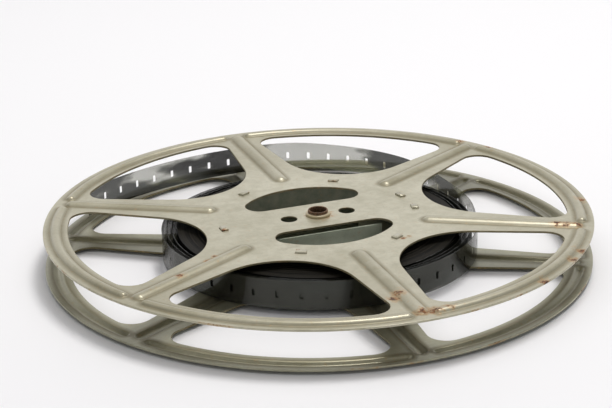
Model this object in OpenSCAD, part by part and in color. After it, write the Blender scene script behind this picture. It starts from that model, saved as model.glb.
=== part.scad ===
// Cine film reel: two pressed steel flanges with six spokes, held together by a
// rolled core drum whose lugs pass through both flanges and are bent over, with a
// rolled eyelet for the spindle in each flange, a folded saddle that stands in the drum
// under the strap, and a loosely wound narrow film.
// Millimetres. Z runs along the spindle axis, X through the two drive holes, and the
// origin is under the middle of the reel, on the surface that it lies on.

/* [Flanges] */
// Outer diameter of each flange
flange_d = 178; // [160:1:220]
// Thickness of the pressed sheet
sheet_t = 0.7; // [0.5:0.05:0.9]
// Width of the outer ring
ring_w = 8; // [7:0.5:12]
// Number of spokes, and of windows between them
spokes = 6; // [5:1:7]
// Width of a spoke where it meets the ring
spoke_w = 11; // [9:0.5:16]
// Angle by which each side of a spoke opens towards the hub
spoke_flare = 5; // [2:0.5:8]
// Radius of the window corners at the ring
corner_r = 6; // [3:0.5:8]
// Width of hub plate left between the core drum and a window
hub_rim_w = 5.7; // [4:0.1:8]

/* [Pressed beads] */
// Height of the ribs and beads above the sheet
press_h = 1; // [0.95:0.05:1.2]
// Width of the rib along each spoke
rib_w = 4.5; // [3.5:0.1:6]
// Distance from the core drum to the inner tip of a rib
rib_start = 0.9; // [0.5:0.1:6]
// Distance from the outer tip of a rib to the edge of the flange
rib_rim = 4; // [3:0.5:12]
// Width of the bead along the ring
bead_w = 3.2; // [2.4:0.1:4]
// Width of the flat lip outside the bead
lip_w = 2.4; // [1.2:0.1:3]
// Distance from the middle of a spoke to the tip of each bead
bead_gap = 3.3; // [2.6:0.1:8]

/* [Hub] */
// Width of the strap that carries the spindle
strap_w = 20; // [18:0.2:26]
// Width of hub plate left between the core drum and a hub slot
slot_rim_w = 7.3; // [5:0.1:9]
// Radius of the tips of the hub slots
slot_tip_r = 5; // [2:0.5:6]
// Diameter of the two drive holes
drive_d = 5.3; // [3:0.1:6]
// Distance between the drive holes
drive_pitch = 20; // [17:0.5:26]

/* [Spindle eyelets] */
// Diameter of the spindle bore
bore_d = 5.5; // [5:0.1:8]
// Wall of the eyelet
eyelet_wall = 0.5; // [0.4:0.05:0.7]
// Width of the rolled lip beyond the neck
eyelet_lip_w = 0.8; // [0.6:0.05:1.2]
// Height of the upper eyelet's rolled lip above the sheet
upper_lip_h = 1.9; // [0.5:0.05:2.5]
// Height of the lower eyelet's rolled lip, which stays clear of the surface below the reel
lower_lip_h = 0.85; // [0.5:0.05:0.9]
// Thickness of the eyelet's clinched inner lip
eyelet_clinch = 0.45; // [0.3:0.05:0.8]
// Gap between the eyelet's neck and the sheet
eyelet_clear = 0.05; // [0.02:0.01:0.1]

/* [Core drum] */
// Outer diameter of the core drum
drum_d = 66.6; // [56:0.2:76]
// Thickness of the drum's strip
drum_t = 0.6; // [0.4:0.05:0.8]
// Gap between the ends of the rolled strip
seam_gap = 1.2; // [0.6:0.1:3]
// Width of a lug
lug_w = 3.4; // [2.5:0.1:5]
// Length of the bent part of a lug, from the drum's outside
lug_reach = 2.2; // [1.6:0.1:4]
// Distance from the seam to the middle of the lug on each side of it
seam_lug = 6.1; // [4:0.1:9]
// Depth of a lug's faces inside the drum's own, from its stretching in the bend
lug_inset = 0.02; // [0.01:0.01:0.05]
// Gap around a lug in its slot
lug_clear = 0.1; // [0.05:0.05:0.3]

/* [Hub saddle] */
// Thickness of the saddle's sheet
saddle_t = 0.7; // [0.5:0.05:0.9]
// Gap between the top edges of its walls and the upper flange
saddle_gap = 1.3; // [1:0.1:3]
// Length of the foot at each of its ends
saddle_foot = 4.7; // [3:0.1:6]
// Gap between its feet and the drive holes
saddle_clear = 0.8; // [0.5:0.1:2]
// Distance of its walls' outer faces outside the edges of the strap
saddle_out = 0.7; // [0:0.05:1]
// Outer radius of the bends between its walls and feet
saddle_bend = 1.2; // [1:0.1:2]

/* [Film] */
// Width of the film
film_w = 9.5; // [8:0.1:16]
// Thickness of the film
film_t = 0.15; // [0.12:0.01:0.2]
// Free width between the flanges beyond the film
side_play = 2.3; // [1.6:0.1:4]
// Gap between the film and the sheet that it lies on
film_rest = 0.3; // [0.2:0.05:0.5]
// Gap between the drum and the innermost turn
core_clear = 0.4; // [0.3:0.05:1]
// Depth of the tightly wound turns
pack_depth = 12.3; // [6:0.1:14]
// Number of loose turns over the tight ones
loose_turns = 3; // [2:1:5]
// Gap between neighbouring loose turns, where they lie closest
turn_gap = 0.5; // [0.45:0.01:0.6]
// Widening of that gap at the two sides where the loose turns bulge
turn_bulge = 1.1; // [0:0.1:1.5]
// Distance from the film's free end to the edge of the flange
tail_rim = 2.5; // [2:0.5:6]

/* [Hidden] */
$fn = 96;
arc_step = 5;

// Radii
flange_r = flange_d / 2;
ring_in_r = flange_r - ring_w;
drum_r = drum_d / 2;
window_in_r = drum_r + hub_rim_w;
slot_r = drum_r - slot_rim_w;
bead_r = flange_r - lip_w - bead_w / 2;
rib_from = drum_r + rib_start;
rib_to = flange_r - rib_rim;
neck_r = bore_d / 2 + eyelet_wall;

// Heights: the reel lies on the crests of the lower flange's ribs and beads
gap = film_w + side_play;
low_face = press_h + sheet_t;
high_face = low_face + gap;
film_z = low_face + film_rest;

// Windows: two straight sides, a round inner end that touches both, a round outer
// corner at each side. Each is drawn with its middle line along X.
window_step = 360 / spokes;
side_angle = window_step / 2 + spoke_flare;
side_off = ring_in_r * sin(spoke_flare + asin(spoke_w / 2 / ring_in_r));
end_u = (window_in_r - side_off) / (1 - sin(side_angle));
end_r = end_u - window_in_r;

// The round tips of a bead: how far their faces lie inside the bead's own, how far back
// their middle lies from its end, and how far its hollow runs on under them
tip_inset = 0.02;
tip_back = 0.2;
tip_run = 0.5;

// Core drum
lug_angle = lug_w / drum_r * 180 / PI;
slot_extra = lug_clear / drum_r * 180 / PI;
seam_lug_angle = seam_lug / drum_r * 180 / PI;
lug_root = 1;
lug_angles = concat([seam_lug_angle], [for (k = [1:spokes - 1]) k * window_step],
                    [360 - seam_lug_angle]);

// Hub saddle
saddle_half = strap_w / 2 + saddle_out;
saddle_h = gap - saddle_gap;
foot_from = drive_pitch / 2 + drive_d / 2 + saddle_clear;
saddle_l = 2 * (foot_from + saddle_foot);

// Film
pack_in_r = drum_r + core_clear;
pack_r = pack_in_r + pack_depth;
turn_pitch = film_t + turn_gap;
first_turn_r = pack_r + turn_gap + film_t / 2;
turn_steps = 60;
tail_start = -20;
outer_turn_r = first_turn_r + loose_turns * (turn_pitch + turn_bulge);
tail_end_r = flange_r - tail_rim;
// The free end, as [angle past its start, share of the way out to the rim]: it leaves
// the turns, swings out to the ring, turns there and runs straight to its end.
tail_knots = [[-20, 0.07], [0, 0], [20, 0.07], [42, 0.2], [64, 0.5], [86, 0.74], [98, 0.84],
              [116, 0.83], [136, 0.88], [156, 1], [176, 1.2]];

function unit(v) = v / norm(v);
function polar(r, a) = r * [cos(a), sin(a)];

// A point between knots i and i + 1, at share s, on a smooth curve through all of them
function between(k, i, s) =
    let (a = k[i - 1], b = k[i], c = k[i + 1], d = k[i + 2])
    0.5 * (2 * b + (c - a) * s + (2 * a - 5 * b + 4 * c - d) * s * s
           + (3 * b - a - 3 * c + d) * s * s * s);

// The middle line of the loose turns, which bulge where the free end leaves them and on
// the far side
function turn_point(i) =
    let (turns = i / turn_steps, back = 360 * (loose_turns - turns))
    polar(first_turn_r + turns * (turn_pitch + turn_bulge * (1 + cos(2 * back)) / 2),
          tail_start - back);
turn_line = [for (i = [0:loose_turns * turn_steps]) turn_point(i)];

// The middle line of the free end
tail_parts = 6;
tail_last = len(tail_knots) - 3;
tail_polar = concat([for (i = [1:tail_last], j = [0:tail_parts - 1])
                     between(tail_knots, i, j / tail_parts)],
                    [tail_knots[tail_last + 1]]);
tail_line = [for (p = tail_polar)
             polar(outer_turn_r + (tail_end_r - outer_turn_r) * p[1], tail_start + p[0])];

// Direction of a line at its point i, and a strip of the film's thickness along it
function along(line, i) = unit(line[min(i + 1, len(line) - 1)] - line[max(i - 1, 0)]);
function beside(line, i, off) = let (d = along(line, i)) line[i] + off * [-d[1], d[0]];
function strip(line) = concat(
    [for (i = [0:len(line) - 1]) beside(line, i, -film_t / 2)],
    [for (i = [len(line) - 1:-1:0]) beside(line, i, film_t / 2)]);

// Least gap of the wound film to itself, on the points of its middle line
wound = concat(turn_line, [for (i = [1:len(tail_line) - 1]) tail_line[i]]);
least_gap = min([for (i = [0:len(wound) - 1], j = [i + turn_steps / 2:len(wound) - 1])
                 norm(wound[i] - wound[j])]) - film_t;
echo(least_gap = least_gap);

// Points on an arc, both ends among them unless they are skipped
function arc(c, r, from, to, skip = 0) =
    let (n = ceil(abs(to - from) / arc_step))
    [for (i = [skip:n - skip]) c + polar(r, from + (to - from) * i / n)];

// A slot of a round disc of radius r, beyond the line y = off, with both tips rounded
module disc_slot(r, off, tip) {
    tip_y = off + tip;
    tip_x = sqrt(pow(r - tip, 2) - tip_y * tip_y);
    turn = atan2(tip_y, tip_x);
    polygon(concat(arc([tip_x, tip_y], tip, -90, turn), arc([0, 0], r, turn, 180 - turn, 1),
                   arc([-tip_x, tip_y], tip, 180 - turn, 270)));
}

// One window, along X
module window() {
    normal = [sin(side_angle), -cos(side_angle)];
    run = [cos(side_angle), sin(side_angle)];
    corner = (side_off + corner_r) * normal
        + sqrt(pow(ring_in_r - corner_r, 2) - pow(side_off + corner_r, 2)) * run;
    side = 90 + side_angle;
    turn = atan2(corner[1], corner[0]);
    polygon(concat(arc([end_u, 0], end_r, side, 360 - side),
                   arc([corner[0], -corner[1]], corner_r, 360 - side, 360 - turn),
                   arc([0, 0], ring_in_r, -turn, turn, 1),
                   arc(corner, corner_r, turn, side)));
}

// The outline of a flange, without the slots for the lugs
module flange_outline() {
    difference() {
        circle(r = flange_r);
        for (k = [0:spokes - 1]) rotate(k * window_step) window();
        for (turn = [0, 180]) rotate(turn) disc_slot(slot_r, strap_w / 2, slot_tip_r);
        for (side = [-1, 1]) translate([side * drive_pitch / 2, 0]) circle(d = drive_d);
        circle(r = neck_r + eyelet_clear);
    }
}

// Half the section of a pressed bead of width w, over its middle line
function press_r(w) = (w * w / 4 + press_h * press_h) / (2 * press_h);
module half_section(w) {
    bottom = -sheet_t / 2;
    intersection() {
        translate([0, press_h - press_r(w)]) circle(r = press_r(w));
        translate([0, bottom]) square([w, press_h - bottom]);
    }
}
module section(w) {
    half_section(w);
    mirror([1, 0]) half_section(w);
}
// The hollow under a bead, one thickness of the sheet below its face
module hollow_section(w) translate([0, press_h - press_r(w)]) circle(r = press_r(w) - sheet_t);
// The round tip of a bead, just inside the bead's own face
module tip(w) translate([0, 0, -tip_inset]) rotate_extrude() half_section(w - 2 * tip_inset);

// The rib of one spoke, along X: its raised face, and its hollow
module rib() {
    from = rib_from + rib_w / 2;
    to = rib_to - rib_w / 2;
    translate([from, 0, 0]) rotate([90, 0, 90]) linear_extrude(to - from) section(rib_w);
    for (end = [from + tip_back, to - tip_back]) translate([end, 0, 0]) tip(rib_w);
}
module rib_hollow() {
    from = rib_from + rib_w / 2 - tip_run;
    to = rib_to - rib_w / 2 + tip_run;
    translate([from, 0, 0]) rotate([90, 0, 90]) linear_extrude(to - from) hollow_section(rib_w);
}

// The bead of one stretch of the ring, between two spokes: its raised face, and its hollow
function bead_half(short) = window_step / 2 - (bead_gap + bead_w / 2 + short) / bead_r * 180 / PI;
module ring_bead() {
    half = bead_half(0);
    rotate(-half) rotate_extrude(angle = 2 * half) translate([bead_r, 0]) section(bead_w);
    for (end = bead_half(tip_back) * [-1, 1]) rotate(end) translate([bead_r, 0, 0]) tip(bead_w);
}
module ring_bead_hollow() {
    half = bead_half(-tip_run);
    rotate(-half) rotate_extrude(angle = 2 * half) translate([bead_r, 0]) hollow_section(bead_w);
}

// A flange with its inner face on z = 0 and its ribs upwards
module flange() {
    slot_angle = lug_angle + 2 * slot_extra;
    difference() {
        union() {
            linear_extrude(sheet_t) flange_outline();
            translate([0, 0, sheet_t]) for (k = [0:spokes - 1]) {
                rotate((k + 0.5) * window_step) rib();
                rotate(k * window_step) ring_bead();
            }
        }
        translate([0, 0, sheet_t]) for (k = [0:spokes - 1]) {
            rotate((k + 0.5) * window_step) rib_hollow();
            rotate(k * window_step) ring_bead_hollow();
        }
        for (a = lug_angles) rotate(a - slot_angle / 2) rotate_extrude(angle = slot_angle)
            translate([drum_r - drum_t - lug_clear, -sheet_t])
            square([drum_t + 2 * lug_clear, 3 * sheet_t]);
    }
}

module upper_flange() {
    color([0.72, 0.70, 0.63]) translate([0, 0, high_face]) flange();
}

module lower_flange() {
    color([0.66, 0.64, 0.56]) translate([0, 0, low_face]) mirror([0, 0, 1]) flange();
}

// The section of a lug, with the drum's edge on y = 0: a leg that grows out of the wall and
// passes through the sheet, a round bend, and a flat end on the sheet's outer face
module lug_section() {
    out_r = drum_r - lug_inset;
    in_r = drum_r - drum_t + lug_inset;
    lug_t = out_r - in_r;
    translate([in_r, -lug_root]) square([lug_t, lug_root + sheet_t]);
    intersection() {
        translate([in_r, sheet_t]) circle(r = lug_t);
        translate([in_r, sheet_t]) square(lug_t);
    }
    translate([drum_r - lug_reach, sheet_t]) square([lug_reach + in_r - drum_r, lug_t]);
}
module lugs() {
    for (a = lug_angles) rotate(a - lug_angle / 2) rotate_extrude(angle = lug_angle) lug_section();
}

module core_drum() {
    seam_angle = seam_gap / drum_r * 180 / PI;
    color([0.56, 0.57, 0.50]) {
        rotate(seam_angle / 2) rotate_extrude(angle = 360 - seam_angle)
            translate([drum_r - drum_t, low_face]) square([drum_t, gap]);
        translate([0, 0, high_face]) lugs();
        translate([0, 0, low_face]) mirror([0, 0, 1]) lugs();
    }
}

// An eyelet with the sheet's inner face on z = 0 and its rolled lip upwards
module eyelet(lip_h) {
    bore_r = bore_d / 2;
    roll_w = eyelet_wall + eyelet_lip_w;
    roll_d = min(roll_w / 2, lip_h);
    roll_y = sheet_t + lip_h - roll_d / 2;
    rotate_extrude() {
        translate([bore_r, -eyelet_clinch]) square([eyelet_wall, sheet_t + eyelet_clinch]);
        translate([bore_r, -eyelet_clinch]) square([roll_w, eyelet_clinch]);
        translate([bore_r, sheet_t]) square([roll_w, lip_h - roll_d / 2]);
        translate([bore_r + roll_d / 2, roll_y - roll_d / 2]) square([roll_w - roll_d, roll_d]);
        for (x = [bore_r + roll_d / 2, bore_r + roll_w - roll_d / 2])
            translate([x, roll_y]) circle(d = roll_d);
    }
}

module upper_spindle_eyelet() {
    color([0.52, 0.40, 0.30]) translate([0, 0, high_face]) eyelet(upper_lip_h);
}

module lower_spindle_eyelet() {
    color([0.52, 0.40, 0.30]) translate([0, 0, low_face]) mirror([0, 0, 1]) eyelet(lower_lip_h);
}

// The section of the saddle across the strap, with the strap's inner face on y = 0
module saddle_section() {
    mid = saddle_half - saddle_bend;
    in_bend = saddle_bend - saddle_t;
    wall = saddle_half - saddle_t;
    polygon(concat([[-saddle_half, saddle_h]],
                   arc([-mid, saddle_bend], saddle_bend, 180, 270),
                   arc([mid, saddle_bend], saddle_bend, 270, 360),
                   [[saddle_half, saddle_h], [wall, saddle_h]],
                   arc([mid, saddle_bend], in_bend, 360, 270),
                   arc([-mid, saddle_bend], in_bend, 270, 180),
                   [[-wall, saddle_h]]));
}

// The saddle on the lower strap: two walls joined by a foot at each end, and open between
// the feet for the spindle and the drive pins
module hub_saddle() {
    open_w = 2 * (saddle_half - saddle_bend - saddle_t / 2);
    color([0.50, 0.51, 0.45]) translate([0, 0, low_face]) difference() {
        translate([-saddle_l / 2, 0, 0]) rotate([90, 0, 90])
            linear_extrude(saddle_l) saddle_section();
        translate([-foot_from, -open_w / 2, -saddle_t]) cube([2 * foot_from, open_w, 3 * saddle_t]);
    }
}

// The tightly wound turns
module film_pack() {
    color([0.12, 0.11, 0.11]) rotate_extrude()
        translate([pack_in_r, film_z]) square([pack_depth, film_w]);
}

// The loose turns over them, as one strip
module film_outer_turns() {
    color([0.16, 0.15, 0.15]) translate([0, 0, film_z])
        linear_extrude(film_w) polygon(strip(turn_line));
}

// The free end of the film, sprung out to the ring
module film_tail() {
    color([0.35, 0.35, 0.33]) translate([0, 0, film_z])
        linear_extrude(film_w) polygon(strip(tail_line));
}

upper_flange();
lower_flange();
core_drum();
upper_spindle_eyelet();
lower_spindle_eyelet();
hub_saddle();
film_pack();
film_outer_turns();
film_tail();
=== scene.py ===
"""A cine film reel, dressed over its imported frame.

Two pressed steel flanges with six spokes sit on a rolled core drum whose lugs are bent over
them. Each flange has a spindle eyelet, and a folded saddle stands in the drum under the strap.
A narrow perforated film is wound on the drum: tight turns, a few loose turns over them, and a
free end that has sprung out to the ring.
Sizes are in millimetres until a mesh is made, which is in metres.
"""

from __future__ import annotations

import logging
import math
from dataclasses import dataclass
from enum import Enum
from typing import Any, Iterable, Sequence

import bmesh
import bpy
import numpy as np
from mathutils import Matrix, Vector
from mathutils.geometry import delaunay_2d_cdt

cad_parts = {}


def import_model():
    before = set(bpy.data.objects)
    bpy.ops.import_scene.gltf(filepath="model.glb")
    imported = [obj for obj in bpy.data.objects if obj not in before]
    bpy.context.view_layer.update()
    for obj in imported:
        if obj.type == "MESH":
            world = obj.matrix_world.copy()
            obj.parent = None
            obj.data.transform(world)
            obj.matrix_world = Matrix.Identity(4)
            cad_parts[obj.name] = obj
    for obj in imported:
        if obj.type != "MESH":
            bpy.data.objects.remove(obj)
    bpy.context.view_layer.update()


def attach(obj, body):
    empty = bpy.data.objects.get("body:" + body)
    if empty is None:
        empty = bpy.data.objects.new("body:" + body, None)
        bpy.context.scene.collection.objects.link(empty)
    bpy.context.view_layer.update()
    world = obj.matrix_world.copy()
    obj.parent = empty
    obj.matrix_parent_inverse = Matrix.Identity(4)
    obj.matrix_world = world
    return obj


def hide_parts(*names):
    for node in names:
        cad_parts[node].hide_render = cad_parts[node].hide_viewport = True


LOG = logging.getLogger("film_reel")
MM = 0.001
Colour = tuple[float, float, float]
Triple = tuple[float, float, float]
Point = tuple[float, float]
Face = tuple[int, ...]

# Sizes that several pieces share
SHEET = 0.7
UPPER_FACE = 14.2
LOWER_FACE = 1.0
LUG_ANGLES = (10.5, 60.0, 120.0, 180.0, 240.0, 300.0, 349.5)


class Side(Enum):
    """The two sides of the reel, as the direction of the flange's outer face."""

    UPPER = 1
    LOWER = -1


class Slot(Enum):
    """The record's material slots."""

    FLANGE = "flange_paint"
    DRUM = "drum_paint"
    EYELET = "eyelet_steel"
    FILM = "film"


class Body(Enum):
    """The bodies of the frame."""

    REEL = "reel"
    FILM = "film"


def linear(red: int, green: int, blue: int) -> Colour:
    """A display colour of 0 to 255 as linear light.

    Args:
        red: Red part.
        green: Green part.
        blue: Blue part.

    Returns:
        The three linear parts.
    """
    parts = []
    for part in (red, green, blue):
        share = part / 255
        parts.append(share / 12.92 if share <= 0.04045 else ((share + 0.055) / 1.055) ** 2.4)
    return tuple(parts)


class Wire:
    """A socket that Python's operators work on; each operation adds a Math node."""

    def __init__(self, graph: Graph, socket: bpy.types.NodeSocket) -> None:
        """Wraps one output socket of a graph."""
        self.graph = graph
        self.socket = socket

    def __add__(self, other: Wire | float) -> Wire:
        """The sum."""
        return self.graph.math("ADD", self, other)

    def __radd__(self, other: float) -> Wire:
        """The sum, from the right."""
        return self.graph.math("ADD", other, self)

    def __sub__(self, other: Wire | float) -> Wire:
        """The difference."""
        return self.graph.math("SUBTRACT", self, other)

    def __rsub__(self, other: float) -> Wire:
        """The difference, from the right."""
        return self.graph.math("SUBTRACT", other, self)

    def __mul__(self, other: Wire | float) -> Wire:
        """The product."""
        return self.graph.math("MULTIPLY", self, other)

    def __rmul__(self, other: float) -> Wire:
        """The product, from the right."""
        return self.graph.math("MULTIPLY", other, self)


class Graph:
    """Adds nodes to a node tree, for finishes and for shapes alike."""

    def __init__(self, tree: bpy.types.NodeTree) -> None:
        """Wraps a node tree."""
        self.tree = tree

    def node(
        self,
        kind: str,
        settings: dict[str, Any] | None = None,
        sockets: dict[str | int, Any] | None = None,
    ) -> bpy.types.Node:
        """Adds one node.

        Args:
            kind: The node's type.
            settings: Properties, set first.
            sockets: Values or wires, by the name or number of the input socket.

        Returns:
            The new node.
        """
        node = self.tree.nodes.new(kind)
        for name, value in (settings or {}).items():
            setattr(node, name, value)
        for key, value in (sockets or {}).items():
            if isinstance(value, Wire):
                self.tree.links.new(value.socket, node.inputs[key])
            else:
                node.inputs[key].default_value = value
        return node

    def wire(
        self,
        kind: str,
        settings: dict[str, Any] | None = None,
        sockets: dict[str | int, Any] | None = None,
        output: str | int = 0,
    ) -> Wire:
        """Adds one node and gives one of its outputs.

        Args:
            kind: The node's type.
            settings: Its properties.
            sockets: Its input values or wires.
            output: The name or number of the output.

        Returns:
            That output as a wire.
        """
        return Wire(self, self.node(kind, settings, sockets).outputs[output])

    def math(self, operation: str, first: Wire | float, second: Wire | float = 0.0) -> Wire:
        """A Math node on two values."""
        return self.wire("ShaderNodeMath", {"operation": operation}, {0: first, 1: second})

    def vector(self, operation: str, first: Any, second: Any = None, output: int = 0) -> Wire:
        """A Vector Math node on one or two vectors."""
        sockets = {0: first} if second is None else {0: first, 1: second}
        return self.wire("ShaderNodeVectorMath", {"operation": operation}, sockets, output)

    def mix(self, factor: Wire | float, first: Any, second: Any) -> Wire:
        """A colour between two colours.

        Args:
            factor: The second colour's share.
            first: A colour of three parts or a wire.
            second: The same.

        Returns:
            The mixed colour.
        """
        ends = [c if isinstance(c, Wire) else (*c, 1.0) for c in (first, second)]
        return self.wire(
            "ShaderNodeMix", {"data_type": "RGBA"}, {0: factor, 6: ends[0], 7: ends[1]}, 2
        )

    def fade(self, value: Wire, low: float, high: float) -> Wire:
        """A smooth step.

        Args:
            value: What it depends on.
            low: Where the step is 0.
            high: Where it is 1.

        Returns:
            The step, from 0 to 1.
        """
        return self.wire(
            "ShaderNodeMapRange",
            {"interpolation_type": "SMOOTHSTEP"},
            {"Value": value, "From Min": low, "From Max": high},
        )

    def noise(self, place: Wire, scale: float, detail: float = 2.0, rough: float = 0.5) -> Wire:
        """A noise value.

        Args:
            place: Where it is read.
            scale: Its scale, per unit of the place.
            detail: Number of finer layers.
            rough: Weight of the finer layers.

        Returns:
            A value of about 0.2 to 0.8.
        """
        return self.wire(
            "ShaderNodeTexNoise",
            None,
            {"Vector": place, "Scale": scale, "Detail": detail, "Roughness": rough},
        )


class Finish:
    """The start of every material: a Principled shader on a fresh tree."""

    def __init__(self, name: str) -> None:
        """Starts the material.

        Args:
            name: The material's name.
        """
        self.material = bpy.data.materials.new(name)
        self.material.use_nodes = True
        tree = self.material.node_tree
        tree.nodes.clear()
        self.graph = Graph(tree)
        self.shader = self.graph.node("ShaderNodeBsdfPrincipled")
        self.graph.node(
            "ShaderNodeOutputMaterial", None, {"Surface": Wire(self.graph, self.shader.outputs[0])}
        )

    def place(self) -> Wire:
        """Object coordinates, in metres."""
        return self.graph.wire("ShaderNodeTexCoord", None, None, "Object")

    def attribute(self, name: str) -> Wire:
        """A number that is stored on the piece's own points."""
        return self.graph.wire("ShaderNodeAttribute", {"attribute_name": name}, None, "Fac")

    def feed(self, **sockets: Any) -> None:
        """Sets or links sockets of the shader.

        Args:
            sockets: Values or wires, by socket name with _ for each space.
        """
        for name, value in sockets.items():
            socket = self.shader.inputs[name.replace("_", " ")]
            if isinstance(value, Wire):
                self.graph.tree.links.new(value.socket, socket)
            else:
                socket.default_value = value

    def bump(self, height: Wire, strength: float, depth: float) -> None:
        """Gives the surface fine relief.

        Args:
            height: The relief, from 0 to 1.
            strength: Its share.
            depth: Its depth in millimetres.
        """
        normal = self.graph.wire(
            "ShaderNodeBump",
            None,
            {"Strength": strength, "Distance": depth * MM, "Height": height},
        )
        self.feed(Normal=normal)


@dataclass(frozen=True)
class RustSpot:
    """A place where the paint has failed, in the reel's plan."""

    x: float
    y: float
    radius: float


@dataclass(frozen=True)
class StovingPaint:
    """Grey beige paint on pressed steel, rubbed and rusted where it was knocked, and darkened
    towards a grime colour by real dirt and by painted shade.
    """

    name: str
    light: Colour
    dark: Colour
    spots: tuple[RustSpot, ...] = ()
    edge_wear: float = 0.5
    patch_scale: float = 60.0
    # Colour that the paint darkens towards: real dirt, and painted shade in creases, on cut edges
    # and inside the drum.
    grime_and_shade: Colour = linear(108, 99, 70)
    stain: Colour = linear(176, 142, 96)
    rust: Colour = linear(142, 92, 50)
    old_rust: Colour = linear(66, 43, 30)
    metal: float = 0.3
    cloud_scale: float = 42.0
    mottle_scale: float = 240.0
    grain_scale: float = 1500.0
    blot_scale: float = 75.0
    ragged_scale: float = 620.0
    rust_scale: float = 1300.0
    drawn_turn: float = 0.36
    drawn_scale: Triple = (90.0, 1400.0, 400.0)
    spot_depth: float = 0.8

    def material(self) -> bpy.types.Material:
        """Builds the paint.

        Returns:
            The material.
        """
        finish = Finish(self.name)
        graph = finish.graph
        place = finish.place()
        cloud = graph.noise(place, self.cloud_scale, 4.0, 0.6)
        mottle = graph.noise(place, self.mottle_scale, 5.0, 0.65)
        grain = graph.noise(place, self.grain_scale, 2.0)
        drawn = graph.wire(
            "ShaderNodeMapping",
            None,
            {"Vector": place, "Rotation": (0.0, 0.0, self.drawn_turn), "Scale": self.drawn_scale},
        )
        streak = graph.noise(drawn, 1.0, 3.0)
        tone = graph.fade(cloud, 0.3, 0.7) * 0.5 + graph.fade(mottle, 0.3, 0.7) * 0.4
        colour = graph.mix(tone + streak * 0.3 - 0.1, self.dark, self.light)
        speck = graph.fade(grain, 0.6, 0.7) * 0.25
        colour = graph.mix(speck, colour, tuple(part * 0.6 for part in self.dark))
        # The dirt number darkens the paint towards the grime colour: real dirt on the crowns and
        # spokes, and painted shade at the feet of the pressings, on the cut edges of the holes and
        # inside the drum.
        dirt_and_shade = finish.attribute("dirt_and_shade")
        grime_and_shade = dirt_and_shade * (0.3 + mottle * 0.9)
        blot = graph.fade(graph.noise(place, self.blot_scale, 5.0, 0.7), 0.6, 0.72) * 0.22
        colour = graph.mix(graph.math("MAXIMUM", grime_and_shade, blot), colour, self.grime_and_shade)
        ragged = graph.noise(place, self.ragged_scale, 6.0, 0.7)
        reach = self._rust_reach(finish, place) + (ragged - 0.5) * 1.9
        stain = graph.fade(reach, 0.1, 0.55)
        rust = graph.fade(reach, 0.42, 0.75)
        patchy = graph.fade(graph.noise(place, self.rust_scale, 4.0), 0.38, 0.62)
        patchy = patchy * (1.0 - graph.fade(reach, 0.7, 1.1))
        colour = graph.mix(stain * 0.62, colour, self.stain)
        colour = graph.mix(rust, colour, graph.mix(patchy, self.old_rust, self.rust))
        finish.feed(
            Base_Color=colour,
            Roughness=0.21 + cloud * 0.12 + mottle * 0.08 + dirt_and_shade * 0.14 + rust * 0.35,
            Metallic=self.metal * (1.0 - rust * 0.9),
        )
        finish.bump(grain * 0.4 + mottle * 0.5 + streak * 0.3 + rust * ragged, 0.3, 0.06)
        return finish.material

    def _rust_reach(self, finish: Finish, place: Wire) -> Wire:
        """How far the rust has come: at the spots, and in patches along worn edges.

        Args:
            finish: The finish that is being built.
            place: Object coordinates.

        Returns:
            A value that is highest in the middle of the rust.
        """
        graph = finish.graph
        flat = graph.vector("MULTIPLY", place, (1.0, 1.0, 0.0))
        patches = graph.fade(graph.noise(place, self.patch_scale, 2.0), 0.52, 0.66)
        reach = finish.attribute("edge") * patches * self.edge_wear
        for spot in self.spots:
            gap = graph.vector("DISTANCE", flat, (spot.x * MM, spot.y * MM, 0.0), 1)
            slope = self.spot_depth / (spot.radius * MM)
            reach = graph.math("MAXIMUM", reach, self.spot_depth - gap * slope)
        return reach


@dataclass(frozen=True)
class RubbedSteel:
    """Painted steel worn through to rust in the bore."""

    name: str
    paint: Colour
    rust: Colour = linear(120, 88, 62)
    ragged_scale: float = 700.0
    rust_scale: float = 1500.0

    def material(self) -> bpy.types.Material:
        """Builds the finish.

        Returns:
            The material.
        """
        finish = Finish(self.name)
        graph = finish.graph
        place = finish.place()
        ragged = graph.noise(place, self.ragged_scale, 4.0, 0.6)
        worn = graph.fade(finish.attribute("edge") + ragged * 0.8, 0.62, 1.0)
        patchy = graph.fade(graph.noise(place, self.rust_scale, 2.0), 0.4, 0.6)
        rust = graph.mix(patchy, tuple(part * 0.45 for part in self.rust), self.rust)
        finish.feed(
            Base_Color=graph.mix(worn, self.paint, rust),
            Roughness=0.34 + worn * 0.3,
            Metallic=0.15 * worn,
        )
        finish.bump(ragged, 0.3, 0.04)
        return finish.material


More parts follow.
